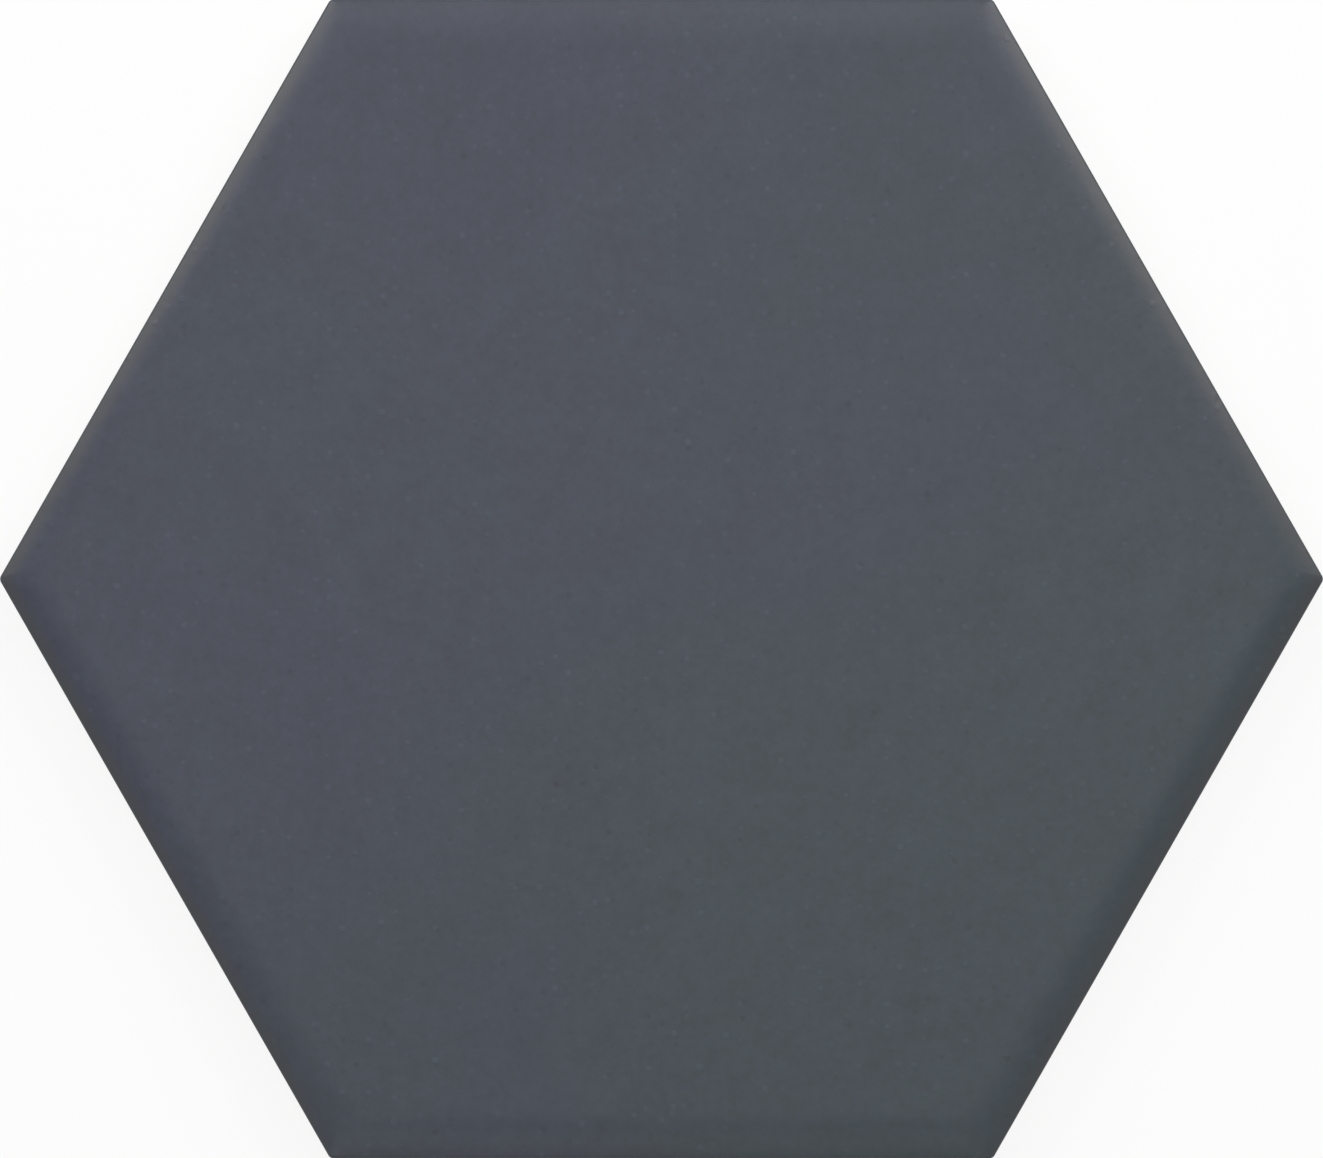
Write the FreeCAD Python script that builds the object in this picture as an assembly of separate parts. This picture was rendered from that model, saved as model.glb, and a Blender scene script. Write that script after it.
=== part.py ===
import FreeCAD, Part

import math
import os

# Hexagon floor tile: one piece of pressed and glazed porcelain, lying face up.
#
# Frame, in millimetres: the origin is the middle of the plane that the back rests on.
# X runs from corner to corner, Y from flat side to flat side, and Z up out of the face.
#
# From the face down, the outline passes through five bands:
#   cushion - the face falls away in a shallow arc;
#   arris   - a small rounding where the cushion meets the side;
#   land    - an upright band, the widest part, left by the wall of the die;
#   draft   - the side leans in a little, so that the tile leaves the die;
#   chamfer - a small break round the edge of the back.
# The back is keyed for adhesive by a honeycomb of shallow pockets inside a plain rim.

# Outline
ACROSS_CORNERS = 200.0  # between the points where the sides would meet
ACROSS_FLATS = 175.0
THICKNESS = 9.0
CORNER_RADIUS = 1.0  # of the six upright corners, seen from above

# Cushioned edge of the face
CUSHION_WIDTH = 7.0  # from the side in to the flat of the face
CUSHION_SLOPE = 20.0  # degrees off level, where the arc meets the side
CREST_RADIUS = 6.0  # of the corners of the flat of the face
ARRIS_RADIUS = 0.6
CUSHION_SECTIONS = 7  # outlines that the cushion is lofted through
CUSHION_DEGREE = 3  # of the curves that carry the loft from outline to outline

# Sides
LAND_HEIGHT = 2.4
DRAFT_ANGLE = 3.0  # degrees off upright
BACK_CHAMFER = 0.6

# Keyed back
POCKET_WIDTH = 14.0  # across the flats, at the mouth
POCKET_DEPTH = 0.9
POCKET_WALL_ANGLE = 35.0  # degrees off upright
RIB_WIDTH = 2.4  # between two neighbouring pockets
RIM_WIDTH = 6.0  # least plain band between the pockets and the chamfer

# Points nearer than this to a height are at it
SAME_HEIGHT = 1e-6

# The cushion's arc, seen in section, is level at the flat of the face
slope_angle = math.radians(CUSHION_SLOPE)
cushion_arc = CUSHION_WIDTH / math.sin(slope_angle)
cushion_drop = cushion_arc * (1 - math.cos(slope_angle))

# Heights of the land, which the arris rounds off at the top
land_top = THICKNESS - cushion_drop
land_foot = land_top - LAND_HEIGHT

# How far each lower outline lies inside the land
draft_inset = (land_foot - BACK_CHAMFER) * math.tan(math.radians(DRAFT_ANGLE))
back_inset = draft_inset + BACK_CHAMFER


def side_lines():
    """Outward normal and distance from the middle of each side, anticlockwise from the upper right.

    A flat side is half as long as the tile is wide, so a sloping side runs from the corner
    in by a quarter of the tile's width and up by half its height.
    """
    run = ACROSS_CORNERS / 4
    rise = ACROSS_FLATS / 2
    length = math.hypot(run, rise)
    normal_x, normal_y = rise / length, run / length
    slope_distance = ACROSS_CORNERS / 2 * normal_x
    flat_distance = ACROSS_FLATS / 2
    return [
        (normal_x, normal_y, slope_distance),
        (0.0, 1.0, flat_distance),
        (-normal_x, normal_y, slope_distance),
        (-normal_x, -normal_y, slope_distance),
        (0.0, -1.0, flat_distance),
        (normal_x, -normal_y, slope_distance),
    ]


def inset_corners(inset):
    """The six corners of the outline after every side has moved in by inset."""
    lines = [(nx, ny, distance - inset) for nx, ny, distance in side_lines()]
    corners = []
    for index, (ax, ay, a) in enumerate(lines):
        bx, by, b = lines[(index + 1) % len(lines)]
        cross = ax * by - ay * bx
        corners.append(((a * by - b * ay) / cross, (b * ax - a * bx) / cross))
    return corners


def rounded_outline(inset, radius, z):
    """The outline at height z, moved in by inset, each corner an arc tangent to its two sides."""
    corners = [FreeCAD.Vector(x, y, z) for x, y in inset_corners(inset)]
    arcs = []
    for index, corner in enumerate(corners):
        back = (corners[index - 1] - corner).normalize()
        ahead = (corners[(index + 1) % len(corners)] - corner).normalize()
        half_angle = back.getAngle(ahead) / 2
        setback = radius / math.tan(half_angle)
        bisector = (back + ahead).normalize()
        middle = corner + bisector * (radius / math.sin(half_angle) - radius)
        arcs.append((corner + back * setback, middle, corner + ahead * setback))
    edges = []
    for index, (start, middle, end) in enumerate(arcs):
        next_start = arcs[(index + 1) % len(arcs)][0]
        edges.append(Part.Arc(start, middle, end).toShape())
        edges.append(Part.LineSegment(end, next_start).toShape())
    return Part.Wire(edges)


def cushion_outline(share):
    """The cushion's outline, a share of the way round its arc from the land up to the face.

    As the outline moves in, its corners open out from the radius of the upright corners
    to that of the crest.
    """
    slope = slope_angle * (1 - share)
    inset = CUSHION_WIDTH - cushion_arc * math.sin(slope)
    height = THICKNESS - cushion_arc * (1 - math.cos(slope))
    radius = CORNER_RADIUS + (CREST_RADIUS - CORNER_RADIUS) * inset / CUSHION_WIDTH
    return rounded_outline(inset, radius, height)


def cushion():
    """The top of the tile, lofted smooth through outlines evenly spaced round the arc."""
    steps = CUSHION_SECTIONS - 1
    outlines = [cushion_outline(index / steps) for index in range(CUSHION_SECTIONS)]
    solid, ruled, closed = True, False, False
    return Part.makeLoft(outlines, solid, ruled, closed, CUSHION_DEGREE)


def sides():
    """The rest of the tile's thickness, lofted straight from each outline to the next."""
    outlines = [
        rounded_outline(back_inset, CORNER_RADIUS, 0),
        rounded_outline(draft_inset, CORNER_RADIUS, BACK_CHAMFER),
        rounded_outline(0, CORNER_RADIUS, land_foot),
        rounded_outline(0, CORNER_RADIUS, land_top),
    ]
    solid, ruled = True, True
    return Part.makeLoft(outlines, solid, ruled)


def pressed_body():
    """The sides and the cushion as one, with the edge between them rounded."""
    body = sides().fuse(cushion()).removeSplitter()
    arris = [
        edge
        for edge in body.Edges
        if all(abs(vertex.Z - land_top) < SAME_HEIGHT for vertex in edge.Vertexes)
    ]
    return body.makeFillet(ARRIS_RADIUS, arris)


def pocket_corners(across_flats):
    """The corners of a pocket about its own middle: a regular hexagon with two upright sides."""
    reach = across_flats / math.sqrt(3)
    angles = [math.radians(30 + 60 * index) for index in range(6)]
    return [(reach * math.cos(angle), reach * math.sin(angle)) for angle in angles]


def pocket():
    """What one pocket takes out of the back: a hexagon that narrows up to its floor."""
    wall_run = POCKET_DEPTH * math.tan(math.radians(POCKET_WALL_ANGLE))
    wires = []
    for across_flats, z in ((POCKET_WIDTH, 0), (POCKET_WIDTH - 2 * wall_run, POCKET_DEPTH)):
        corners = [FreeCAD.Vector(x, y, z) for x, y in pocket_corners(across_flats)]
        wires.append(Part.makePolygon(corners + corners[:1]))
    solid, ruled = True, True
    return Part.makeLoft(wires, solid, ruled)


def clears_rim(x, y):
    """Whether a pocket at x, y leaves the rim its width along every side of the back."""
    mouth = [(x + dx, y + dy) for dx, dy in pocket_corners(POCKET_WIDTH)]
    return all(
        nx * px + ny * py <= distance - back_inset - RIM_WIDTH
        for nx, ny, distance in side_lines()
        for px, py in mouth
    )


def pocket_places():
    """Middles of the pockets that clear the rim: rows along X, each half a pitch out of step."""
    pitch = POCKET_WIDTH + RIB_WIDTH
    row_pitch = pitch * math.sqrt(3) / 2
    rows = math.ceil(ACROSS_FLATS / 2 / row_pitch)
    columns = math.ceil(ACROSS_CORNERS / 2 / pitch)
    places = []
    for row in range(-rows, rows + 1):
        shift = pitch / 2 * (row % 2)
        for column in range(-columns, columns + 1):
            place = (column * pitch + shift, row * row_pitch)
            if clears_rim(*place):
                places.append(place)
    return places


def hexagon_tile(places):
    """The finished tile: the pressed body with a pocket cut into its back at each place."""
    plug = pocket()
    plugs = [plug.translated(FreeCAD.Vector(x, y, 0)) for x, y in places]
    return pressed_body().cut(plugs)


places = pocket_places()
tile = hexagon_tile(places)
os.makedirs("parts", exist_ok=True)
tile.exportStep("parts/hexagon_tile.step")
print(f"hexagon_tile: {len(tile.Solids)} solid, {len(tile.Faces)} faces, {len(places)} pockets")
print(f"valid {tile.isValid()}, volume {tile.Volume / 1000:.1f} cm3")
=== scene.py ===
# %% [markdown]
# # A glazed hexagon floor tile
# This lesson dresses one floor tile: slate blue-grey, satin, with a softly cushioned edge,
# lying face up on a pale floor. The tile is pressed and fired in one piece, so there is one
# object here, and the work goes into its surfaces: the glazed face, the sides that the glaze
# stops half way down, and the bare back with its honeycomb of pockets for the adhesive.
#
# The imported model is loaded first, because it says where the tile is and how large it is.

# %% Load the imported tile
import math

import bmesh
import bpy
import numpy as np
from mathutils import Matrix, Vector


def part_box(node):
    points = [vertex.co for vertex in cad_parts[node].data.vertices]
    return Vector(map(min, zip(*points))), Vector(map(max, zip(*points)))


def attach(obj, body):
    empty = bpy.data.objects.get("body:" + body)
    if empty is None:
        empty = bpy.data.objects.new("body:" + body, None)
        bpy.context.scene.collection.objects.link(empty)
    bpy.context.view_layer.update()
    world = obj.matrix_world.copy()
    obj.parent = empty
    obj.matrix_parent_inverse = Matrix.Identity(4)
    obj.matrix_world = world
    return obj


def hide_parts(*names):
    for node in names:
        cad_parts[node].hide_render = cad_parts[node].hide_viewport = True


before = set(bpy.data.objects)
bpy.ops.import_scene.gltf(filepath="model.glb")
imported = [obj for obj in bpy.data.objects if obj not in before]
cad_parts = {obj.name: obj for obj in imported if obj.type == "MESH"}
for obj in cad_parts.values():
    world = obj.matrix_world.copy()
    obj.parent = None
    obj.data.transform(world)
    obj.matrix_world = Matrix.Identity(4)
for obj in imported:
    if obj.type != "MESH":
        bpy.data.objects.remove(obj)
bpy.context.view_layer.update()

# %% [markdown]
# ## Sizes
# Blender works in metres, so sizes are written as so many millimetres times MM. What the
# packed box tells isn't written again: the width across the flat sides and the thickness.
# Across the corners the box is a little short, because the corners are rounded, so the
# distance between the points where the sides would meet has a value of its own.

# %% Name the sizes
MM = 0.001
TILE = "hexagon_tile"
tile_low, tile_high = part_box(TILE)

# Outline
ACROSS_CORNERS = 200 * MM
across_flats = tile_high.y - tile_low.y
thickness = tile_high.z - tile_low.z
CORNER_RADIUS = 1 * MM  # of the six upright corners, seen from above

# Cushioned edge of the face, a shallow arc with a rounded arris
CUSHION_WIDTH = 7 * MM
CUSHION_SLOPE = math.radians(20)  # off level, where the arc would meet the side
CREST_RADIUS = 6 * MM  # of the corners of the flat of the face
ARRIS_RADIUS = 0.6 * MM

# Sides
LAND_HEIGHT = 2.4 * MM
DRAFT = math.radians(3)  # off upright
BACK_CHAMFER = 0.6 * MM
WORN_RADIUS = 0.35 * MM  # of the chamfer's two edges, which the die leaves soft

# Keyed back
POCKET_WIDTH = 14 * MM  # across the flats, at the mouth
POCKET_DEPTH = 0.9 * MM
POCKET_WALL = math.radians(35)  # off upright
RIB_WIDTH = 2.4 * MM
POCKET_RINGS = 5  # of pockets, round the one in the middle

# The arc is level at the crest, so its radius follows from its width and its slope
cushion_arc = CUSHION_WIDTH / math.sin(CUSHION_SLOPE)
land_top = thickness - cushion_arc * (1 - math.cos(CUSHION_SLOPE))
land_foot = land_top - LAND_HEIGHT
draft_inset = (land_foot - BACK_CHAMFER) * math.tan(DRAFT)
back_inset = draft_inset + BACK_CHAMFER
pitch = POCKET_WIDTH + RIB_WIDTH
print(f"across flats {across_flats / MM:.2f} mm, thickness {thickness / MM:.2f} mm")
print(f"land from {land_foot / MM:.2f} to {land_top / MM:.2f} mm, pockets {pitch / MM:.1f} mm apart")

# %% [markdown]
# ## Camera
# The photograph looks straight down and the tile fills it from corner to corner and from side
# to side. A long lens keeps the perspective as slight as it is there. The camera could be set
# by eye, but its height follows from one line of arithmetic: at a given distance, a lens sees
# a width of distance times sensor over focal length.

# %% Set the camera
LENS = 150.0  # mm, as Blender's camera and its sensor are measured
SENSOR = 36.0
VIEW_WIDTH = 199.6 * MM  # that the picture shows, at the height of the land
picture_distance = VIEW_WIDTH * LENS / SENSOR

camera_data = bpy.data.cameras.new("camera")
camera_data.lens = LENS
camera_data.sensor_width = SENSOR
camera = bpy.data.objects.new("camera", camera_data)
camera.location = (0, 0, land_top + picture_distance)  # unturned, a camera looks straight down
bpy.context.scene.collection.objects.link(camera)
bpy.context.scene.camera = camera
bpy.context.scene.view_settings.view_transform = "Standard"
print(f"camera {picture_distance:.3f} m above the sides of the tile")

# %% [markdown]
# ## One outline for everything
# The tile and its pockets are hexagons with rounded corners, so one function draws them all.
# A flat hexagon and a bevel would give that shape too, but here the outlines have to join up
# into a grid, so each has as many points as the next, one for each column.
#
# A polygon is kept as straight sides: which way each faces and how far it is from the middle.
# Moving every side in by the same inset moves each corner along its mitre, and the centre of
# its rounding moves along the same line, by the inset plus the radius.

# %% Draw a rounded polygon
def polygon(normals, distances, columns, corner_columns):
    """What each column of a polygon's grid needs: its corners, mitres, share and direction.

    A corner is where two sides meet. Its mitre is the sum of their normals over one plus
    their product: moving a corner in by the mitre moves it one unit away from both sides.
    Columns are counted from the middle of the corner before a side. The first and last
    corner_columns of a side turn round its corners, and the rest run straight along it.
    """
    normals = np.asarray(normals, float)
    distances = np.asarray(distances, float)
    ahead = np.roll(normals, -1, axis=0)
    corners = np.linalg.solve(
        np.stack([normals, ahead], axis=1),
        np.stack([distances, np.roll(distances, -1)], axis=1)[..., None],
    )[..., 0]
    dots = (normals * ahead).sum(axis=1, keepdims=True)
    mitres = (normals + ahead) / (1 + dots)
    half_turns = np.arccos(dots[:, 0]) / 2

    side, step = np.divmod(np.arange(len(normals) * columns), columns)
    straight = columns - 2 * corner_columns
    share = np.clip((step - corner_columns) / straight, 0, 1)
    before = np.clip(1 - step / corner_columns, 0, 1) * half_turns[side - 1]
    after = np.clip((step - corner_columns - straight) / corner_columns, 0, 1) * half_turns[side]
    angle = np.arctan2(normals[side, 1], normals[side, 0]) - before + after
    return {
        "start": corners[side - 1], "start_mitre": mitres[side - 1],
        "end": corners[side], "end_mitre": mitres[side],
        "share": share[:, None], "even_share": (step / columns)[:, None],
        "facing": np.stack([np.cos(angle), np.sin(angle)], axis=1), "side": side,
    }


def outline(shape, inset, radius):
    """Rows of points round a polygon, one row for each inset and its corner radius.

    A point is the mix of the corner centres at the two ends of its side, by its share of the
    way along it, plus the radius times the direction that it faces. Where the radius is
    nothing the corners are sharp, and the points are spread evenly along the sides instead.
    """
    inset = np.asarray(inset, float).reshape(-1, 1, 1)
    radius = np.asarray(radius, float).reshape(-1, 1, 1)
    share = np.where(radius > 0, shape["share"], shape["even_share"])
    start = shape["start"] - (inset + radius) * shape["start_mitre"]
    end = shape["end"] - (inset + radius) * shape["end_mitre"]
    return (1 - share) * start + share * end + radius * shape["facing"]


def at_height(rows, heights):
    """The same rows with a height for each row as the third coordinate."""
    heights = np.broadcast_to(np.reshape(heights, (-1, 1, 1)), rows.shape[:-1] + (1,))
    return np.concatenate([rows, heights], axis=-1)


# %% [markdown]
# ### The sides of this tile
# Two sides are level in the picture and the other four slope. A level side is half as long as
# the tile is wide, so a sloping one runs from its corner in by a quarter of that width, and up
# by half the distance across the flats. The two swapped give the way it faces.

# %% Lay out the tile's six sides
SIDE_COLUMNS = 88  # as many as eleven edges of pocket cells, with eight points each
CORNER_COLUMNS = 4

facing = np.array([across_flats / 2, ACROSS_CORNERS / 4])
facing = facing / np.linalg.norm(facing)
side_normals = np.array([facing, (0, 1), facing * (-1, 1), -facing, (0, -1), facing * (1, -1)])
slope_distance = ACROSS_CORNERS / 2 * facing[0]
side_distances = [slope_distance, across_flats / 2, slope_distance] * 2
tile_sides = polygon(side_normals, side_distances, SIDE_COLUMNS, CORNER_COLUMNS)
print("columns round the tile:", len(tile_sides["side"]))

# %% [markdown]
# ## The edge in section
# Seen in section, the edge of the tile is a chain of arcs and short straights: the cushion
# falls away from the crest, the arris turns it down into the upright land, the side then
# leans in by the draft of the die, and a soft chamfer leads to the back. The cushion and the
# arris share one idea: a point of an arc is its centre plus its radius, at right angles to
# the slope there. A bevel on sharp edges would be quicker to make, but its corners wouldn't
# open out towards the crest as these do.

# %% Work out the section
def arc_between(before, corner, after, radius, steps):
    """Points of the arc of that radius that touches both lines which meet at corner.

    With half the angle between the lines, the arc leaves each line at radius over tangent
    from the corner, and its centre is radius over sine away along the bisector. From the
    centre the points swing evenly from the first touching point to the last.
    """
    before, corner, after = (np.asarray(point, float) for point in (before, corner, after))
    back = (before - corner) / np.linalg.norm(before - corner)
    ahead = (after - corner) / np.linalg.norm(after - corner)
    half = math.acos(back @ ahead) / 2
    centre = corner + (back + ahead) / np.linalg.norm(back + ahead) * radius / math.sin(half)
    first = corner + back * radius / math.tan(half) - centre
    last = corner + ahead * radius / math.tan(half) - centre
    swing = math.pi - 2 * half
    turn = np.linspace(0, swing, steps + 1)[:, None]
    return centre + (np.sin(swing - turn) * first + np.sin(turn) * last) / math.sin(swing)


CUSHION_STEPS = 12
ARRIS_STEPS = 7
WORN_STEPS = 3

# Where two arcs touch, their centres are as far apart as their radii differ
arris_slope = math.asin((CUSHION_WIDTH - ARRIS_RADIUS) / (cushion_arc - ARRIS_RADIUS))
arris_height = thickness - cushion_arc + (cushion_arc - ARRIS_RADIUS) * math.cos(arris_slope)
turning = np.linspace(0, arris_slope, CUSHION_STEPS + 1)
cushion_rows = np.stack(
    [CUSHION_WIDTH - cushion_arc * np.sin(turning), thickness - cushion_arc * (1 - np.cos(turning))],
    axis=1,
)
turning = np.linspace(arris_slope, math.pi / 2, ARRIS_STEPS + 1)[1:]
arris_rows = np.stack(
    [ARRIS_RADIUS * (1 - np.sin(turning)), arris_height + ARRIS_RADIUS * np.cos(turning)], axis=1
)
foot = (0, land_foot)
chamfer_top = (draft_inset, BACK_CHAMFER)
chamfer_foot = (back_inset, 0)
further_in = (2 * back_inset, 0)  # any point of the back past the chamfer
section = np.concatenate([
    cushion_rows,
    arris_rows,
    [foot],
    arc_between(foot, chamfer_top, chamfer_foot, WORN_RADIUS, WORN_STEPS),
    arc_between(chamfer_top, chamfer_foot, further_in, WORN_RADIUS, WORN_STEPS),
])
print(f"{len(section)} rows, arris starts at a slope of {math.degrees(arris_slope):.1f} degrees")

# %% [markdown]
# ## The patches of the surface
# The whole skin is laid in patches of quads. Each patch is a grid of points, and neighbouring
# patches share the points along their common edge, so that they can be welded afterwards.
# Blender could loft and fill such shapes by itself, but then it wouldn't be known which face
# lies where. Here a patch carries two numbers for each of its faces: which material it takes,
# and which flat chart of the texture layout it belongs to.

# %% Collect grids of points
ALL_GLAZE, HALF_GLAZE, BARE = 0, 1, 2  # material slots: the face, the sides, the back
FACE_CHART, BACK_CHART = 6, 7  # the charts before these are the six sides
patches = []


def lay(name, points, material, chart, closed=False):
    """Keeps a patch: points shaped (..., rows, columns, 3) become quads between neighbours.

    closed joins the last column to the first. material and chart are one number, or one for
    each quad of a rows by columns grid.
    """
    index = np.arange(math.prod(points.shape[:-1])).reshape(points.shape[:-1])
    if closed:
        index = np.concatenate([index, index[..., :1]], axis=-1)
    quads = np.stack(
        [index[..., :-1, :-1], index[..., :-1, 1:], index[..., 1:, 1:], index[..., 1:, :-1]], axis=-1
    )
    patches.append({
        "points": points.reshape(-1, 3),
        "quads": quads.reshape(-1, 4),
        "material": np.broadcast_to(material, quads.shape[:-1]).ravel(),
        "chart": np.broadcast_to(chart, quads.shape[:-1]).ravel(),
    })
    print(f"{name}: {quads.size // 4} quads")


# %% [markdown]
# ## Cushion, arris and sides
# The section is carried round the outline: each row is the outline moved in by the section's
# inset, at the section's height. Below the arris the corners keep one radius, and above it
# they open out evenly to the radius of the crest.

# %% Carry the section round the tile
section_inset, section_height = section.T
on_face = section_height > arris_height
corner_radius = np.where(
    on_face,
    CORNER_RADIUS + (CREST_RADIUS - CORNER_RADIUS) * section_inset / CUSHION_WIDTH,
    CORNER_RADIUS,
)
edge_band = at_height(outline(tile_sides, section_inset, corner_radius), section_height)

# Charts and materials change half way round the arris and at the foot of the side
arris_row = len(cushion_rows) - 1 + ARRIS_STEPS // 2
chamfer_row = len(section) - WORN_STEPS - 1
row = np.arange(len(section) - 1)[:, None]
edge_chart = np.where(
    row < arris_row, FACE_CHART, np.where(row < chamfer_row, tile_sides["side"], BACK_CHART)
)
edge_material = np.where(row < arris_row, ALL_GLAZE, HALF_GLAZE)
edge_material[section_height[1:] < BACK_CHAMFER] = BARE
lay("edge band", edge_band, edge_material, edge_chart, closed=True)

# %% [markdown]
# ## The face
# A disc of rings would crowd its quads into a point at the middle. Three rhombic patches that
# meet there keep them even, as the three faces of a cube do when it is seen corner on. Each is
# a Coons patch: from its four edges, it adds the mix of one pair to the mix of the other pair
# and takes away the mix of the corners. Pressed tiles are never quite flat, and a reflection
# shows it, so the face dips by a few hundredths of a millimetre in slow waves.

# %% Fill the face with three patches
WAVE_DEPTH = 0.035 * MM
WAVE_LENGTHS = np.array([120, 84, 61, 47, 38]) * MM
WAVE_FADE = 22 * MM  # from the crest in, over which the waves grow
wave_random = np.random.default_rng(7)
wave_angle = wave_random.uniform(0, 2 * math.pi, len(WAVE_LENGTHS))
wave_start = wave_random.uniform(0, 2 * math.pi, len(WAVE_LENGTHS))


def face_height(places):
    """Height of the face at each place: the crest's, less a dip of slow waves.

    A wave is the sine of the distance along its own direction, and longer waves are deeper.
    The sum runs from nothing to the full depth, and fades to nothing at the crest.
    """
    inside = np.min(np.asarray(side_distances) - places @ side_normals.T, axis=-1) - CUSHION_WIDTH
    grown = np.clip(inside / WAVE_FADE, 0, 1)
    grown = grown * grown * (3 - 2 * grown)
    along = places @ np.stack([np.cos(wave_angle), np.sin(wave_angle)])
    waves = (WAVE_LENGTHS * np.sin(2 * math.pi * along / WAVE_LENGTHS + wave_start)).sum(axis=-1)
    return thickness - WAVE_DEPTH * grown * (0.5 + 0.5 * waves / WAVE_LENGTHS.sum())


def coons(bottom, top, left, right):
    """Grid between four edges: mix of bottom and top, plus mix of left and right, less corners."""
    across = np.linspace(0, 1, len(bottom))[None, :, None]
    up = np.linspace(0, 1, len(left))[:, None, None]
    along = (1 - up) * bottom[None] + up * top[None]
    upward = (1 - across) * left[:, None] + across * right[:, None]
    corners = (1 - up) * ((1 - across) * bottom[0] + across * bottom[-1]) + up * (
        (1 - across) * top[0] + across * top[-1]
    )
    return along + upward - corners


crest = outline(tile_sides, CUSHION_WIDTH, CREST_RADIUS)[0]
crest = np.concatenate([crest, crest[:1]])
outward = np.linspace(0, 1, SIDE_COLUMNS + 1)[:, None]  # from the middle of the face to the crest
for side in (0, 2, 4):
    first, middle, last = (side + np.arange(3)) * SIDE_COLUMNS
    places = coons(
        bottom=crest[first : middle + 1],
        top=outward * crest[last],
        left=outward[::-1] * crest[first],
        right=crest[middle : last + 1],
    )
    face_patch = np.concatenate([places, face_height(places)[..., None]], axis=-1)
    lay(f"face by sides {side} and {side + 1}", face_patch, ALL_GLAZE, FACE_CHART)

# %% [markdown]
# ## The honeycomb back
# A tile is bedded in adhesive, and the press leaves its back keyed so that it holds. Here the
# key is a honeycomb: each cell is a pocket with a rounded mouth, a sloping wall, a soft corner
# at its floor, and half the rib round it. Pockets could be cut out of a flat back with a
# boolean, but that leaves slivers where the roundings meet. Instead one cell is drawn and then
# placed by adding every middle to it, and cells meet along the middle of the ribs.

# %% Draw one cell and place it
CELL_COLUMNS = 8
CELL_CORNER_COLUMNS = 2
LIP_RADIUS = 0.3 * MM
FLOOR_FILLET = 0.5 * MM
MOUTH_CORNER = 1.8 * MM  # radius seen from below, at the mouth
FLOOR_CORNER = 1.2 * MM
LIP_STEPS = 3

cell_angles = np.radians(60) * np.arange(6)
cell_normals = np.stack([np.cos(cell_angles), np.sin(cell_angles)], axis=1)
cell_sides = polygon(cell_normals, [pitch / 2] * 6, CELL_COLUMNS, CELL_CORNER_COLUMNS)

rib_middle = (0, 0)
wall_top = (RIB_WIDTH / 2, 0)
wall_foot = (RIB_WIDTH / 2 + POCKET_DEPTH * math.tan(POCKET_WALL), POCKET_DEPTH)
floor_row = (pitch / 3.5, POCKET_DEPTH)  # about half way from the fillet to the middle
floor_middle = (pitch / 2, POCKET_DEPTH)
cell_section = np.concatenate([
    [rib_middle],
    arc_between(rib_middle, wall_top, wall_foot, LIP_RADIUS, LIP_STEPS),
    arc_between(wall_top, wall_foot, floor_middle, FLOOR_FILLET, LIP_STEPS),
    [floor_row],
])
cell_inset, cell_height = cell_section.T
cell_radius = np.interp(cell_height, [0, POCKET_DEPTH], [MOUTH_CORNER, FLOOR_CORNER])
cell_radius[0] = 0  # the first row is the middle of the ribs, where cells share sharp corners
cell_rows = at_height(outline(cell_sides, cell_inset, cell_radius), cell_height)
cell_middle = np.zeros_like(cell_rows[:1]) + (0, 0, POCKET_DEPTH)
cell = np.concatenate([cell_rows, cell_middle])

# Middles: steps along two of the honeycomb's directions, no further than the outer ring
steps_right, steps_up = np.meshgrid(*[np.arange(-POCKET_RINGS, POCKET_RINGS + 1)] * 2)
inside = np.abs(steps_right + steps_up) <= POCKET_RINGS
steps = np.stack([steps_right[inside], steps_up[inside]], axis=1)
middles = pitch * steps @ cell_normals[:2]
middles = np.concatenate([middles, np.zeros((len(middles), 1))], axis=1)
lay("honeycomb", middles[:, None, None] + cell, BARE, BACK_CHART, closed=True)
print("pockets:", len(middles))

# %% [markdown]
# ## The rim of the back
# Between the honeycomb and the chamfer runs a plain rim. Its outer edge is the last row of
# the edge band, and its inner edge is the zigzag of the outermost cells. A fill between them
# would be long thin triangles. Both have the same number of columns, so the rim is ruled
# straight from one to the other instead.

# %% Rule the rim between the chamfer and the cells
RIM_STEPS = 5

# Along the upper right side, the open edges of each outer cell face right and then upper right
steps_up = np.arange(POCKET_RINGS + 1)
steps = np.stack([POCKET_RINGS - steps_up, steps_up], axis=1)
outer_middles = pitch * steps @ cell_normals[:2]
open_edges = cell_rows[0, : 2 * CELL_COLUMNS, :2]
zigzag = (outer_middles[:, None] + open_edges).reshape(-1, 2)

# The side ends half way along the edges at its two corners, and the others are turned from it
zigzag = zigzag[CELL_COLUMNS // 2 : -CELL_COLUMNS // 2]
turned = np.stack([cell_normals, cell_normals[:, ::-1] * (-1, 1)], axis=1)
zigzag = (zigzag @ turned).reshape(1, -1, 2)
across_rim = np.linspace(0, 1, RIM_STEPS + 1)[:, None, None]
rim = (1 - across_rim) * edge_band[-1:] + across_rim * at_height(zigzag, 0)
lay("rim", rim, BARE, BACK_CHART, closed=True)

# %% [markdown]
# ## One closed skin
# The patches become one mesh. Left apart they would look the same, but a tile that is to be
# printed or weighed has to be closed. Points that lie on each other are welded, which also
# closes the middle of each pocket's floor, and the faces are turned to look outwards. The
# skin then encloses a volume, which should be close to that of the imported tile.

# %% Weld the patches into the tile
WELD = 0.002 * MM


def joined(key):
    """One array of what every patch holds under a key."""
    return np.concatenate([patch[key] for patch in patches])


counts = [len(patch["points"]) for patch in patches]
first_points = np.cumsum([0] + counts[:-1])
quads = np.concatenate([p["quads"] + first for p, first in zip(patches, first_points)])

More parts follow.
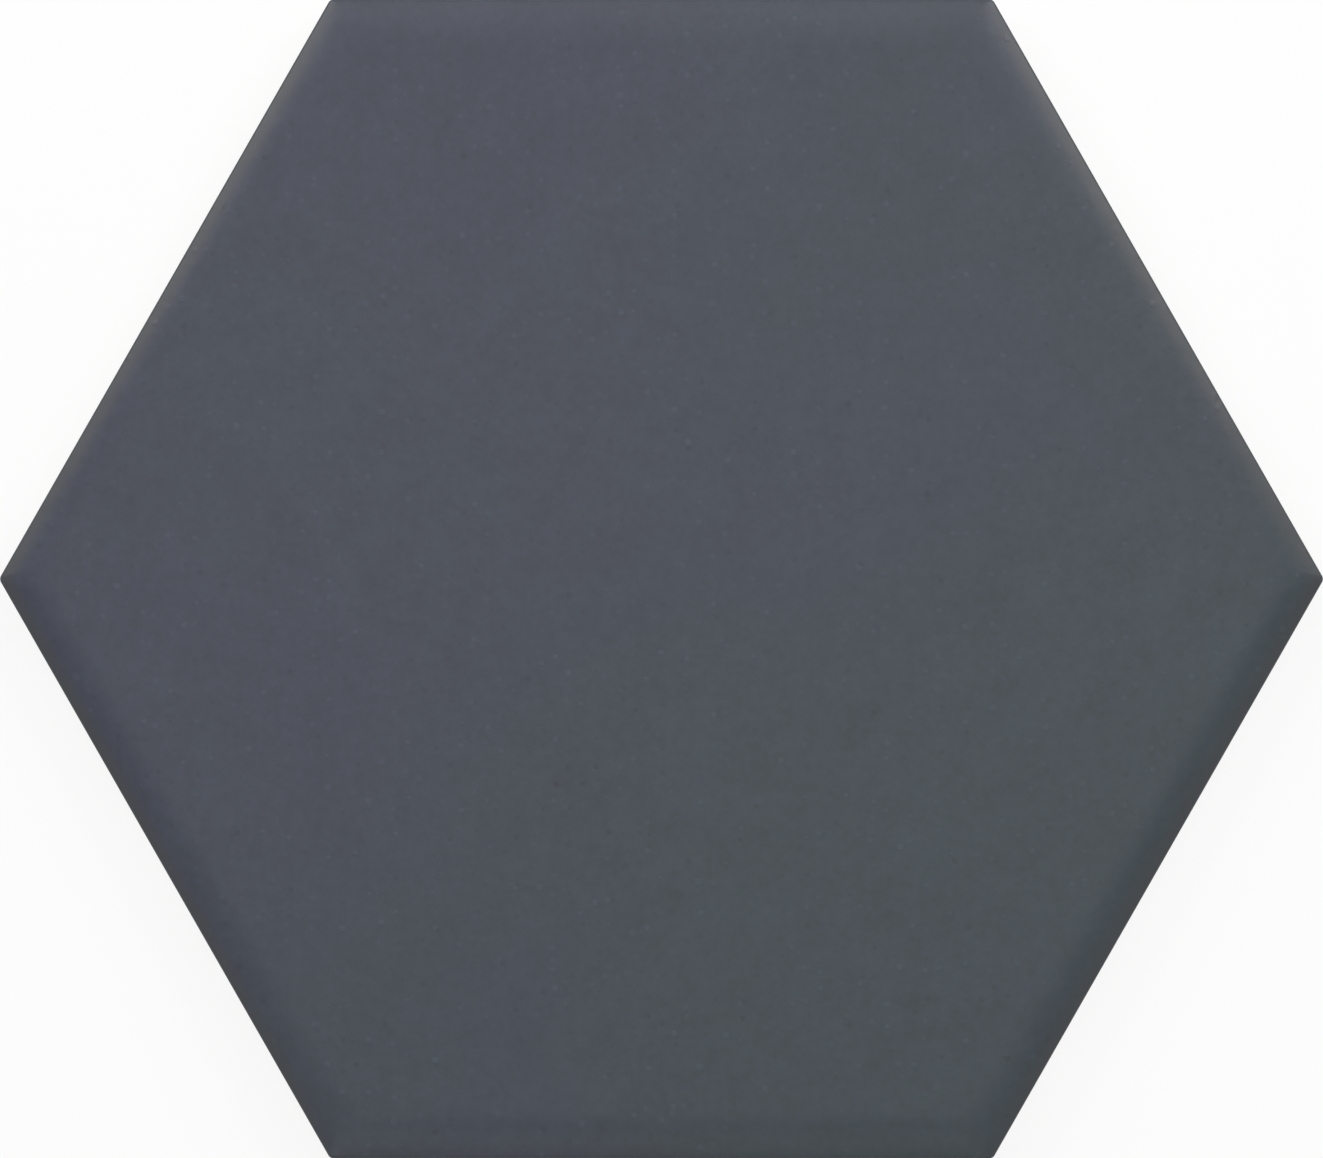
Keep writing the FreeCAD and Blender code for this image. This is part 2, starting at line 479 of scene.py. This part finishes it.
mesh = bpy.data.meshes.new("tile")
mesh.vertices.add(sum(counts))
mesh.vertices.foreach_set("co", joined("points").astype(np.float32).ravel())
mesh.loops.add(quads.size)
mesh.loops.foreach_set("vertex_index", quads.ravel().astype(np.int32))
mesh.polygons.add(len(quads))
mesh.polygons.foreach_set("loop_start", np.arange(0, quads.size, 4, dtype=np.int32))
mesh.polygons.foreach_set("material_index", joined("material").astype(np.int32))
mesh.update(calc_edges=True)
chart_layer = mesh.attributes.new("chart", "INT", "FACE")
chart_layer.data.foreach_set("value", joined("chart").astype(np.int32))

skin = bmesh.new()
skin.from_mesh(mesh)
bmesh.ops.remove_doubles(skin, verts=skin.verts, dist=WELD)
bmesh.ops.recalc_face_normals(skin, faces=skin.faces)
open_count = sum(not edge.is_manifold for edge in skin.edges)
print(f"{len(skin.faces)} faces, {open_count} open edges, {skin.calc_volume() * 1e6:.1f} cm3")
skin.to_mesh(mesh)
skin.free()

# %% [markdown]
# ### Normals
# Plain smooth shading would bend the light on the flats beside each small rounding. Sharp
# edges would show the facets of the roundings. Here a point takes the mean of its faces'
# normals weighted by their areas, so the large flats stay flat and the roundings turn between
# them.

# %% Weight the normals by area
def read(collection, name, width=1, kind=np.float32):
    """A property of every item of a mesh's collection, as an array of rows."""
    values = np.empty(len(collection) * width, kind)
    collection.foreach_get(name, values)
    return values.reshape(-1, width) if width > 1 else values


loop_point = read(mesh.loops, "vertex_index", kind=np.int32)
loop_face = np.repeat(np.arange(len(mesh.polygons)), read(mesh.polygons, "loop_total", kind=np.int32))
weighted = read(mesh.polygons, "normal", 3) * read(mesh.polygons, "area")[:, None]
point_normals = np.zeros((len(mesh.vertices), 3))
np.add.at(point_normals, loop_point, weighted[loop_face])
point_normals /= np.linalg.norm(point_normals, axis=1, keepdims=True)
mesh.polygons.foreach_set("use_smooth", np.ones(len(mesh.polygons), bool))
mesh.normals_split_custom_set_from_vertices(point_normals)
print("normals of", len(point_normals), "points")

# %% [markdown]
# ### In place of the imported tile
# The imported tile could keep its own mesh and only take new materials, but it has no soft edges
# and no waves in its face. So this mesh stands for it: it rides on the same body.

# %% Stand the tile in for the imported one
tile = bpy.data.objects.new("glazed_tile", mesh)
bpy.context.scene.collection.objects.link(tile)
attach(tile, "root")
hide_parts(TILE)
triangles = (read(mesh.polygons, "loop_total", kind=np.int32) - 2).sum()
print(f"{triangles} triangles, size {[round(value / MM, 3) for value in tile.dimensions]} mm")

# %% [markdown]
# ## A flat layout for textures
# The materials below need no layout, but an exported copy of the tile carries its colours as
# pictures, and they want one. An automatic unwrap would cut the face where it likes. Here the
# face and the back are laid down as they are seen, and each side is laid down as a strip, so
# every cut is hidden in an arris or a chamfer. Each chart is two directions in space to read
# places along, and the place on the sheet where its middle goes.

# %% Lay the charts on one sheet
GAP = 4 * MM  # between charts
sheet = 2 * across_flats + 3 * GAP
first_row = GAP + across_flats / 2
hexagon_column = GAP + ACROSS_CORNERS / 2
strip_column = hexagon_column + ACROSS_CORNERS + GAP

chart_axes = np.zeros((BACK_CHART + 1, 2, 3))
chart_axes[:FACE_CHART, 0, :2] = side_normals[:, ::-1] * (-1, 1)
chart_axes[:FACE_CHART, 1, 2] = 1
chart_axes[FACE_CHART] = np.eye(3)[:2]
chart_axes[BACK_CHART] = np.eye(3)[:2] * ((-1,), (1,))
chart_middles = np.zeros((BACK_CHART + 1, 2))
chart_middles[:FACE_CHART, 0] = strip_column
chart_middles[:FACE_CHART, 1] = GAP + np.arange(6) * (thickness + GAP)
chart_middles[FACE_CHART] = hexagon_column, first_row
chart_middles[BACK_CHART] = hexagon_column, first_row + across_flats + GAP

chart = read(mesh.attributes["chart"].data, "value", kind=np.int32)[loop_face]
loop_places = read(mesh.vertices, "co", 3)[loop_point]
on_sheet = chart_middles[chart] + np.einsum("lij,lj->li", chart_axes[chart], loop_places)
on_sheet /= sheet
layout = mesh.uv_layers.new(name="OFBake")
layout.data.foreach_set("uv", on_sheet.astype(np.float32).ravel())
print(f"sheet {sheet / MM:.0f} mm wide, charts from {on_sheet.min():.3f} to {on_sheet.max():.3f}")

# %% [markdown]
# ## Helpers for materials
# A material is a small network, and these helpers keep its lines short. They add a node, and
# give each input either a plain value or the output of another node. Patterns read object
# coordinates, in metres, so that a noise of a given size keeps that size on the real tile.

# %% Add and join nodes
def node(tree, kind, inputs=(), **settings):
    """Adds a node with its settings.

    inputs pairs the name or number of an input with a value, or with an output to join it to.
    """
    made = tree.nodes.new("ShaderNode" + kind)
    for name, value in settings.items():
        setattr(made, name, value)
    for key, value in dict(inputs).items():
        if isinstance(value, bpy.types.NodeSocket):
            tree.links.new(value, made.inputs[key])
        else:
            made.inputs[key].default_value = value
    return made


def maths(tree, operation, *values):
    """The result of a Math node on one, two or three values."""
    return node(tree, "Math", enumerate(values), operation=operation).outputs[0]


def fade(tree, value, start, end):
    """A smooth step: nothing at start, one at end."""
    inputs = {"Value": value, "From Min": start, "From Max": end}
    return node(tree, "MapRange", inputs, interpolation_type="SMOOTHSTEP").outputs["Result"]


def blend(tree, share, first, second):
    """A number part of the way from the first to the second."""
    return node(tree, "Mix", {0: share, 2: first, 3: second}, data_type="FLOAT").outputs[0]


def tint(tree, share, first, second):
    """A colour part of the way from the first to the second."""
    return node(tree, "Mix", {0: share, 6: first, 7: second}, data_type="RGBA").outputs[2]


def shaded(tree, paint, shade):
    """A colour multiplied by a number."""
    return node(tree, "VectorMath", {0: paint, "Scale": shade}, operation="SCALE").outputs[0]


def noise(tree, vector, size, detail=2.0, roughness=0.5):
    """Cloudy noise about one half, whose largest lumps are as wide as size, in metres."""
    inputs = {"Vector": vector, "Scale": 1 / size, "Detail": detail, "Roughness": roughness}
    return node(tree, "TexNoise", inputs).outputs[0]


def squeezed(tree, vector, factors):
    """The same places with each axis multiplied by a factor: under one stretches a pattern."""
    return node(tree, "VectorMath", {0: vector, 1: factors}, operation="MULTIPLY").outputs[0]


def colour(red, green, blue):
    """A colour given as a screen shows it, from 0 to 255, as the linear light that shaders use."""
    values = np.array([red, green, blue]) / 255
    linear = np.where(values <= 0.04045, values / 12.92, ((values + 0.055) / 1.055) ** 2.4)
    return (*linear.tolist(), 1.0)


def grey(value):
    """A neutral colour of that much linear light."""
    return (value, value, value, 1.0)


# %% [markdown]
# ## Effects that the finishes share
# The face, the sides and the back have things in common, so each of those is a node group,
# built once and placed where it is wanted. Its inputs are what may differ from place to place,
# and it puts out only colours, masks, roughnesses and heights. Heights are in metres, ready
# for a Bump node whose distance is one.

# %% Start and place node groups
def new_group(name, inputs, outputs):
    """An empty group, its inputs and its outputs. Each socket's name is paired with its kind."""
    tree = bpy.data.node_groups.new(name, "ShaderNodeTree")
    for label, kind in inputs.items():
        tree.interface.new_socket(label, in_out="INPUT", socket_type="NodeSocket" + kind)
    for label, kind in outputs.items():
        tree.interface.new_socket(label, in_out="OUTPUT", socket_type="NodeSocket" + kind)
    return tree, tree.nodes.new("NodeGroupInput").outputs, tree.nodes.new("NodeGroupOutput").inputs


def placed(tree, group, **inputs):
    """Places a group in a material or in another group, and gives its outputs."""
    return node(tree, "Group", inputs, node_tree=group).outputs


# %% [markdown]
# ### Scattered dots
# Iron specks and pinholes in the clay, pimples in the glaze and the drops of its spray are all
# dots strewn at random. Thousands of small meshes could be strewn too, but they would weigh
# more than the tile. A Voronoi pattern gives every cell a point, and a dot is what lies within
# a radius of it. Each cell also has a random colour. Its red decides whether the cell has a
# dot, and it is put out too, because it can decide what kind of dot it is.

# %% Scatter dots
def make_dots():
    """Dots at random points, one for each cell, in a Share of cells that are Spacing wide.

    Mask goes from nothing at Radius from the point to one at half of that. Chance is a random
    number from 0 to 1 for each cell.
    """
    tree, given, out = new_group(
        "scattered_dots",
        {"Vector": "Vector", "Spacing": "Float", "Radius": "Float", "Share": "Float"},
        {"Mask": "Float", "Chance": "Float"},
    )
    cells = node(tree, "TexVoronoi", {
        "Vector": given["Vector"], "Scale": maths(tree, "DIVIDE", 1.0, given["Spacing"]),
    })
    distance = maths(tree, "MULTIPLY", cells.outputs["Distance"], given["Spacing"])
    inner = maths(tree, "MULTIPLY", given["Radius"], 0.5)
    chance = node(tree, "SeparateColor", {"Color": cells.outputs["Color"]}).outputs["Red"]
    chosen = maths(tree, "LESS_THAN", chance, given["Share"])
    dot = fade(tree, distance, given["Radius"], inner)
    tree.links.new(maths(tree, "MULTIPLY", dot, chosen), out["Mask"])
    tree.links.new(chance, out["Chance"])
    return tree


dots = make_dots()
print(dots.name, "has", len(dots.nodes), "nodes")

# %% [markdown]
# ### Glaze
# The glaze is a dark slate with a satin surface. Its colour is nearly even: it drifts from
# bluer at the upper left to greener at the lower right and clouds over by a level or two. Its
# surface has a slight ripple, with pimples and dimples about a millimetre wide, the one paler
# and the other darker. It is greyer where it lies thin on the lower part of the cushion. That
# shows on the four sloping sides and hardly at all on the two level ones, as if those had
# lain along the line that carried the tile under the glaze.
#
# It could be one picture painted for this tile. A mix of noises by place costs nothing to
# store, keeps its detail from close by, and never shows where a picture repeats.

# %% Mix the glaze
GLAZE_BLUE = colour(53, 57, 71)
GLAZE_GREEN = colour(50, 59, 65)
GLAZE_THIN = colour(58, 60, 63)
DRIFT = 0.45  # of the clouds' range, that the colour drifts by over the tile's width
MOTTLE = 0.26  # share that the wide mottling darkens and lightens by
FLECK = 0.24  # and that the fine flecks do
DIMPLE, PIMPLE = -0.6, 0.9  # the deepest and the highest, as shares of a full dot
DOT_SHADE = 0.3  # that a full dot is paler by
DOT_HEIGHT = 0.018 * MM
SMALLEST_DOT, LARGEST_DOT = 0.05 * MM, 1.05 * MM  # radii, and most lie near their mean
RIPPLE_HEIGHT = 0.03 * MM
LEVEL_END = ACROSS_CORNERS / 4  # where the level sides end, left and right of the middle
THIN_ON_LEVEL = 0.2  # of what the sloping sides have
THIN_START, THIN_FULL = 0.35 * MM, 1.1 * MM  # depths below the face


def make_glaze():
    """Colour, roughness and height of the glaze.

    The colour runs from blue to green by diagonal distance plus clouds, times a shade from
    mottling, flecks and dots. A dot's chance takes it from a shallow dimple to a pimple.
    """
    tree, given, out = new_group(
        "glaze", {"Vector": "Vector"}, {"Color": "Color", "Roughness": "Float", "Height": "Float"}
    )
    vector = given["Vector"]
    across, upward, height = node(tree, "SeparateXYZ", {0: vector}).outputs
    clouds = noise(tree, vector, 70 * MM, detail=3)
    diagonal = maths(tree, "SUBTRACT", across, upward)
    drift = maths(tree, "MULTIPLY_ADD", diagonal, DRIFT / ACROSS_CORNERS, clouds)
    glaze = tint(tree, fade(tree, drift, 0.15, 0.85), GLAZE_BLUE, GLAZE_GREEN)

    radius = blend(tree, noise(tree, vector, 3 * MM), SMALLEST_DOT, LARGEST_DOT)
    dot = placed(tree, dots, Vector=vector, Spacing=2 * MM, Radius=radius, Share=1.0)
    rise = maths(tree, "MULTIPLY", dot["Mask"], blend(tree, dot["Chance"], DIMPLE, PIMPLE))
    mottle = noise(tree, vector, 9 * MM, detail=5, roughness=0.75)
    mottle = blend(tree, mottle, 1 - MOTTLE, 1 + MOTTLE)
    fleck = noise(tree, vector, 1.4 * MM, detail=3, roughness=0.6)
    fleck = blend(tree, fleck, 1 - FLECK, 1 + FLECK)
    shade = maths(tree, "MULTIPLY_ADD", mottle, fleck, maths(tree, "MULTIPLY", rise, DOT_SHADE))
    glaze = shaded(tree, glaze, shade)

    aside = maths(tree, "ABSOLUTE", across)
    sloping = fade(tree, aside, LEVEL_END - 4 * MM, LEVEL_END + 6 * MM)
    thin = fade(tree, height, thickness - THIN_START, thickness - THIN_FULL)
    thin = maths(tree, "MULTIPLY", thin, blend(tree, sloping, THIN_ON_LEVEL, 1.0))
    thin = maths(tree, "MULTIPLY", thin, blend(tree, noise(tree, vector, 4 * MM, detail=3), 0.5, 1.2))
    tree.links.new(tint(tree, thin, glaze, GLAZE_THIN), out["Color"])

    satin = blend(tree, noise(tree, vector, 5 * MM, detail=3), 0.29, 0.38)
    tree.links.new(satin, out["Roughness"])
    ripple = maths(tree, "MULTIPLY", noise(tree, vector, 2.4 * MM, detail=1), RIPPLE_HEIGHT)
    tree.links.new(maths(tree, "MULTIPLY_ADD", rise, DOT_HEIGHT, ripple), out["Height"])
    return tree


glaze_group = make_glaze()
print(glaze_group.name, "has", len(glaze_group.nodes), "nodes")

# %% [markdown]
# ### Fired body
# Bare fired porcelain is a warm pale grey, a little mottled by the fire, with the grain of the
# pressed powder, a few specks of iron and the odd pinhole. Pinholes could be modelled, but at
# this size a little relief in the shading shows them as well. The body is bare on the lower
# half of the sides and on the whole back, so it is a group too.

# %% Mix the fired body
BODY_PALE = colour(196, 189, 178)
BODY_WARM = colour(181, 170, 155)
IRON = colour(112, 96, 82)
IRON_CHANCE = 0.25  # below which a dot is a speck of iron, and above it a pinhole
IRON_STAIN, PINHOLE_STAIN = 0.7, 0.45  # how far each goes towards the colour of iron
GRAIN_HEIGHT = 0.05 * MM
LUMP_HEIGHT = 0.06 * MM
PINHOLE_DEPTH = 0.05 * MM


def make_fired_body():
    """Colour, roughness and height of the bare body.

    The colour drifts between two clays, times a shade from the grain, and is stained where
    the iron specks and the pinholes are. The height is the grain's plus that of wider lumps,
    less the pinholes' depth.
    """
    tree, given, out = new_group(
        "fired_body", {"Vector": "Vector"}, {"Color": "Color", "Roughness": "Float", "Height": "Float"}
    )
    vector = given["Vector"]
    drift = fade(tree, noise(tree, vector, 22 * MM), 0.3, 0.7)
    clay = tint(tree, drift, BODY_PALE, BODY_WARM)
    grain = noise(tree, vector, 0.9 * MM, detail=4, roughness=0.65)
    lumps = noise(tree, vector, 3.5 * MM)
    clay = shaded(tree, clay, blend(tree, fade(tree, grain, 0.25, 0.75), 0.86, 1.06))
    dot = placed(tree, dots, Vector=vector, Spacing=1.3 * MM, Radius=0.2 * MM, Share=0.6)
    iron = maths(tree, "LESS_THAN", dot["Chance"], IRON_CHANCE)
    specks = maths(tree, "MULTIPLY", dot["Mask"], iron)
    pinholes = maths(tree, "SUBTRACT", dot["Mask"], specks)
    stain = maths(tree, "MULTIPLY", pinholes, PINHOLE_STAIN)
    stain = maths(tree, "MULTIPLY_ADD", specks, IRON_STAIN, stain)
    tree.links.new(tint(tree, stain, clay, IRON), out["Color"])

    tree.links.new(blend(tree, grain, 0.72, 0.9), out["Roughness"])
    height = maths(tree, "MULTIPLY", grain, GRAIN_HEIGHT)
    height = maths(tree, "MULTIPLY_ADD", lumps, LUMP_HEIGHT, height)
    height = maths(tree, "MULTIPLY_ADD", pinholes, -PINHOLE_DEPTH, height)
    tree.links.new(height, out["Height"])
    return tree


fired_body = make_fired_body()
print(fired_body.name, "has", len(fired_body.nodes), "nodes")

# %% [markdown]
# ## The glazed face
# The face and the upper half of the arris are glaze and nothing else. One material could
# cover the whole tile and choose by height, but then the face would work out a body and spray
# that never show there. So its material is the group, a bump and a shader.

# %% Finish the face
SPECULAR = 0.37  # under the shader's own 0.5, because neither finish is as smooth as glass


def new_material(name):
    """A material, the inputs of its shader, and the places on the tile that it reads."""
    material = bpy.data.materials.new(name)
    material.use_nodes = True
    tree = material.node_tree
    shader = tree.nodes["Principled BSDF"].inputs
    shader["Specular IOR Level"].default_value = SPECULAR
    return material, shader, node(tree, "TexCoord").outputs["Object"]


def bump(tree, height):
    """The normal of a surface with that height, in metres."""
    return node(tree, "Bump", {"Strength": 1.0, "Distance": 1.0, "Height": height}).outputs[0]


def make_glazed_face():
    """Glaze alone: its colour and roughness as they are, and its height as a bump."""
    material, shader, vector = new_material("glazed_face")
    tree = material.node_tree
    glaze = placed(tree, glaze_group, Vector=vector)
    tree.links.new(glaze["Color"], shader["Base Color"])
    tree.links.new(glaze["Roughness"], shader["Roughness"])
    tree.links.new(bump(tree, glaze["Height"]), shader["Normal"])
    return material


mesh.materials.append(make_glazed_face())
print("face:", mesh.materials[ALL_GLAZE].name)

# %% [markdown]
# ## The sides
# Half way down the side the glaze stops in an uneven line, with drops and mist below it that
# grow smaller the further they are from it. A picture painted round the side could show that
# too. A mask from the height is simpler: the height, shaken by noise, is compared with that of
# the line.

# %% Finish the sides
GLAZE_LINE = 5.7 * MM  # height where the glaze stops
LINE_SHAKE = 2.6 * MM  # that a full swing of the noise would move the line by
SPRAY_REACH = 2.8 * MM  # below the line, over which the spray dies out
GLAZE_BODY = 0.12 * MM  # that the glaze stands proud of the body
DROP_SPACING, DROP_RADIUS = 0.9 * MM, 0.36 * MM  # the largest are at the line
MIST_SPACING, MIST_RADIUS = 0.36 * MM, 0.15 * MM
SPRAY_SHARE = 0.6  # of the places for a drop that have one
SPRAY_COVER = 0.85  # how much of the body a drop hides


def make_glazed_side():
    """Glaze above its line and bare body below it, mixed where drops and mist have landed.

    How far a place is above the line is its height, less the line's, plus a shake that varies
    more along the side than up it.
    """
    material, shader, vector = new_material("glazed_side")
    tree = material.node_tree
    height = node(tree, "SeparateXYZ", {0: vector}).outputs["Z"]
    glaze = placed(tree, glaze_group, Vector=vector)
    body = placed(tree, fired_body, Vector=vector)

    band = squeezed(tree, vector, (1, 1, 0.3))
    shake = maths(tree, "SUBTRACT", noise(tree, band, 11 * MM, detail=4, roughness=0.6), 0.5)
    above = maths(tree, "SUBTRACT", height, GLAZE_LINE)
    above = maths(tree, "MULTIPLY_ADD", shake, LINE_SHAKE, above)

    nearness = fade(tree, above, -SPRAY_REACH, 0)
    spray = 0.0
    for spacing, largest in ((DROP_SPACING, DROP_RADIUS), (MIST_SPACING, MIST_RADIUS)):
        radius = maths(tree, "MULTIPLY", nearness, largest)
        dot = placed(tree, dots, Vector=vector, Spacing=spacing, Radius=radius, Share=SPRAY_SHARE)
        spray = maths(tree, "MAXIMUM", spray, dot["Mask"])
    spray = maths(tree, "MULTIPLY", spray, SPRAY_COVER)
    glazed = maths(tree, "MAXIMUM", fade(tree, above, -0.1 * MM, 0.15 * MM), spray)

    thinner = tint(tree, fade(tree, above, 1.2 * MM, -0.4 * MM), glaze["Color"], GLAZE_THIN)
    tree.links.new(tint(tree, glazed, body["Color"], thinner), shader["Base Color"])
    tree.links.new(blend(tree, glazed, body["Roughness"], glaze["Roughness"]), shader["Roughness"])
    proud = maths(tree, "ADD", glaze["Height"], GLAZE_BODY)
    tree.links.new(bump(tree, blend(tree, glazed, body["Height"], proud)), shader["Normal"])
    return material


mesh.materials.append(make_glazed_side())
print("sides:", mesh.materials[HALF_GLAZE].name)

# %% [markdown]
# ## The back
# The back is bare body that has been through the kiln on rollers. The tops of the ribs and the
# rim touched them, so they carry a chalky wash in patches and faint streaks along the way that
# the tile travelled. Dust from the press has settled in the pockets.
#
# Painting by hand would put each where it is wanted. The height of a place tells as much:
# what is near the floor has touched the rollers, and what is high in a pocket holds dust.

# %% Finish the back
WASH = colour(222, 219, 212)
DUST = colour(150, 140, 127)
WASH_COVER, DUST_COVER = 0.75, 0.5  # how much of the body each hides at most
WASH_ROUGHNESS = 0.92
SCRATCH_HEIGHT = 0.03 * MM
ACROSS_TRAVEL = (1, 18, 1)  # makes a pattern narrow across the way that the tile travelled


def make_fired_back():
    """The bare body, mixed with wash by height and streaks, and with dust by depth and noise."""
    material, shader, vector = new_material("fired_back")
    tree = material.node_tree
    height = node(tree, "SeparateXYZ", {0: vector}).outputs["Z"]
    body = placed(tree, fired_body, Vector=vector)

    touching = fade(tree, height, 0.12 * MM, 0.01 * MM)
    travel = squeezed(tree, vector, ACROSS_TRAVEL)
    streaks = noise(tree, travel, 30 * MM, detail=4, roughness=0.6)
    patches_of_wash = noise(tree, vector, 16 * MM, detail=5, roughness=0.65)
    wash = fade(tree, blend(tree, 0.4, patches_of_wash, streaks), 0.42, 0.62)
    wash = maths(tree, "MULTIPLY", wash, touching)
    finish = tint(tree, maths(tree, "MULTIPLY", wash, WASH_COVER), body["Color"], WASH)

    sunk = fade(tree, height, 0.3 * POCKET_DEPTH, POCKET_DEPTH)
    dusty = maths(tree, "MULTIPLY", sunk, fade(tree, noise(tree, vector, 6 * MM, detail=4), 0.35, 0.7))
    finish = tint(tree, maths(tree, "MULTIPLY", dusty, DUST_COVER), finish, DUST)
    tree.links.new(finish, shader["Base Color"])
    tree.links.new(blend(tree, wash, body["Roughness"], WASH_ROUGHNESS), shader["Roughness"])
    scratches = maths(tree, "MULTIPLY", maths(tree, "MULTIPLY", streaks, touching), SCRATCH_HEIGHT)
    relief = maths(tree, "ADD", body["Height"], scratches)
    tree.links.new(bump(tree, relief), shader["Normal"])
    return material


mesh.materials.append(make_fired_back())
print("back:", mesh.materials[BARE].name)

# %% [markdown]
# ## Floor
# The photograph has a plain white background. A floor of nothing but white light would be
# that too, but it couldn't take a shadow. So it stays a real surface, and part of what the
# camera sees of it is plain white. The share of white grows outwards until the floor meets the
# background without a line. Rays that carry reflections see the same white, so the satin
# glaze reflects what is round it.

# %% Lay the floor
FLOOR_REACH = 4.0  # metres, as all sizes without MM are
FLOOR_DROP = 0.05 * MM  # keeps the floor just clear of the back
FLOOR_PAINT = 0.9  # of the light that falls on it comes back
WHITE_NEAR = 0.85  # share of plain white in the floor, at the tile
WHITE_FROM, WHITE_TO = 0.3, 1.4  # distances between which it grows to all


def seen_directly(tree):
    """One for rays that end at the camera, by way of a mirror or glass as well."""
    path = node(tree, "LightPath").outputs
    seen = maths(tree, "MAXIMUM", path["Is Camera Ray"], path["Is Glossy Ray"])
    return maths(tree, "MAXIMUM", seen, path["Is Transmission Ray"])


def make_floor_material():
    """Pale paint, mixed with plain white by distance from the tile for rays that see it."""
    material = bpy.data.materials.new("pale_floor")
    material.use_nodes = True
    tree = material.node_tree
    tree.nodes.clear()
    distance = node(tree, "VectorMath", {0: node(tree, "TexCoord").outputs["Object"]}, operation="LENGTH")
    outward = fade(tree, distance.outputs["Value"], WHITE_FROM, WHITE_TO)
    share = maths(tree, "MULTIPLY", blend(tree, outward, WHITE_NEAR, 1.0), seen_directly(tree))
    paint = node(tree, "BsdfDiffuse", {"Color": grey(FLOOR_PAINT)}).outputs[0]
    white = node(tree, "Emission", {"Color": grey(1.0), "Strength": 1.0}).outputs[0]
    mixed = node(tree, "MixShader", {0: share, 1: paint, 2: white}).outputs[0]
    tree.links.new(mixed, tree.nodes.new("ShaderNodeOutputMaterial").inputs["Surface"])
    return material


floor_mesh = bpy.data.meshes.new("floor")
floor_corners = FLOOR_REACH * np.array([(-1, -1), (1, -1), (1, 1), (-1, 1)])
floor_corners = np.concatenate([floor_corners, np.full((4, 1), tile_low.z - FLOOR_DROP)], axis=1)
floor_mesh.from_pydata(floor_corners, [], [(0, 1, 2, 3)])
floor_mesh.materials.append(make_floor_material())
floor = bpy.data.objects.new("floor", floor_mesh)
bpy.context.scene.collection.objects.link(floor)
print(f"floor {2 * FLOOR_REACH:.0f} m wide, {FLOOR_DROP / MM:.2f} mm below the back")

# %% [markdown]
# ## Background
# What lies beyond the floor is seen as plain white in the same way. As a light it is weaker,
# because a bright sky all round would wash out the shading that tells the six edges apart.

# %% Light the background
WORLD_LIGHT = 0.25  # of plain white

world = bpy.data.worlds.new("studio")
world.use_nodes = True
sky = world.node_tree
background = sky.nodes["Background"]
background.inputs["Color"].default_value = grey(1.0)
sky.links.new(blend(sky, seen_directly(sky), WORLD_LIGHT, 1.0), background.inputs["Strength"])
bpy.context.scene.world = world
print(f"background: white to look at, {WORLD_LIGHT} as a light")

# %% [markdown]
# ## Lamps
# The face is brightest along its upper edges and darkest along its lower ones, so the light
# comes from the top of the picture, soft and high. Three boxes make it: a large one overhead
# and two that stand to the upper left and the upper right. A weak one opposite keeps the lower
# edges from going quite dark.
#
# A picture of a real studio wrapped round the scene could light it as well. Boxes are kept
# because each can be moved by itself until the shading of the six edges is right.

# %% Hang the soft boxes
LAMP_DISTANCE = 1.1  # from the middle of the tile's back


def soft_box(name, azimuth, elevation, width, length, power):
    """A rectangle of light that faces the tile. Azimuth is from +X towards +Y, in degrees.

    Its direction is (cos e cos a, cos e sin a, sin e). It looks back along that: half round
    from its azimuth, and down from level by its elevation.
    """
    lamp = bpy.data.lights.new(name, "AREA")
    lamp.shape = "RECTANGLE"
    lamp.size, lamp.size_y = width, length
    lamp.energy = power
    box = bpy.data.objects.new(name, lamp)
    azimuth, elevation = math.radians(azimuth), math.radians(elevation)
    level = math.cos(elevation)
    direction = np.array([level * math.cos(azimuth), level * math.sin(azimuth), math.sin(elevation)])
    box.location = LAMP_DISTANCE * direction
    box.rotation_euler = (math.pi / 2 - elevation, 0, azimuth + math.pi / 2)
    box.visible_camera = False
    bpy.context.scene.collection.objects.link(box)


soft_box("overhead", azimuth=84.5, elevation=70, width=1.0, length=1.3, power=3.8)
soft_box("upper_left", azimuth=132.5, elevation=36, width=0.62, length=0.62, power=4.9)
soft_box("upper_right", azimuth=47.5, elevation=36, width=0.62, length=0.62, power=5.3)
soft_box("lower", azimuth=257, elevation=56, width=0.64, length=0.3, power=0.55)
print("lamps:", [light.name for light in bpy.data.lights])
